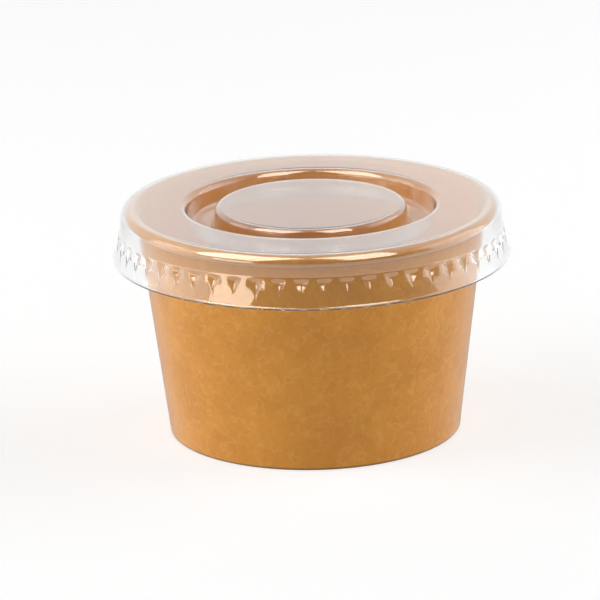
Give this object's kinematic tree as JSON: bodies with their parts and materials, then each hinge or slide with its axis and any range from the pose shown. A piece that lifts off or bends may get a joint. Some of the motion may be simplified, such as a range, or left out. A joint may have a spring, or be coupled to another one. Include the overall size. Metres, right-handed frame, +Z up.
{
  "type": "paper sauce cup",
  "caption": "Round tapered kraft paper portion cup with rolled rim and recessed base, closed by a clear press-fit lid with a ring recess and fluted skirt.",
  "frame": {"origin": "centre of the base, on the surface that the cup stands on", "axes": "+Z up along the cup's axis, +Y to the back, where the side seam is"},
  "size_m": [0.0672, 0.0672, 0.0395],
  "materials": {
    "kraft_board": "uncoated brown kraft board, faint fibre mottle",
    "kraft_base_board": "brown kraft board",
    "clear_plastic": "clear glossy thermoformed sheet"
  },
  "bodies": {
    "cup": {"cup_wall": "kraft_board", "cup_base": "kraft_base_board"},
    "lid": {"lid": "clear_plastic"}
  },
  "joints": [
    {"name": "lid_lift", "type": "slide", "parent": "cup", "child": "lid", "axis": [0, 0, 1], "range_m": [0, 0.03]}
  ]
}
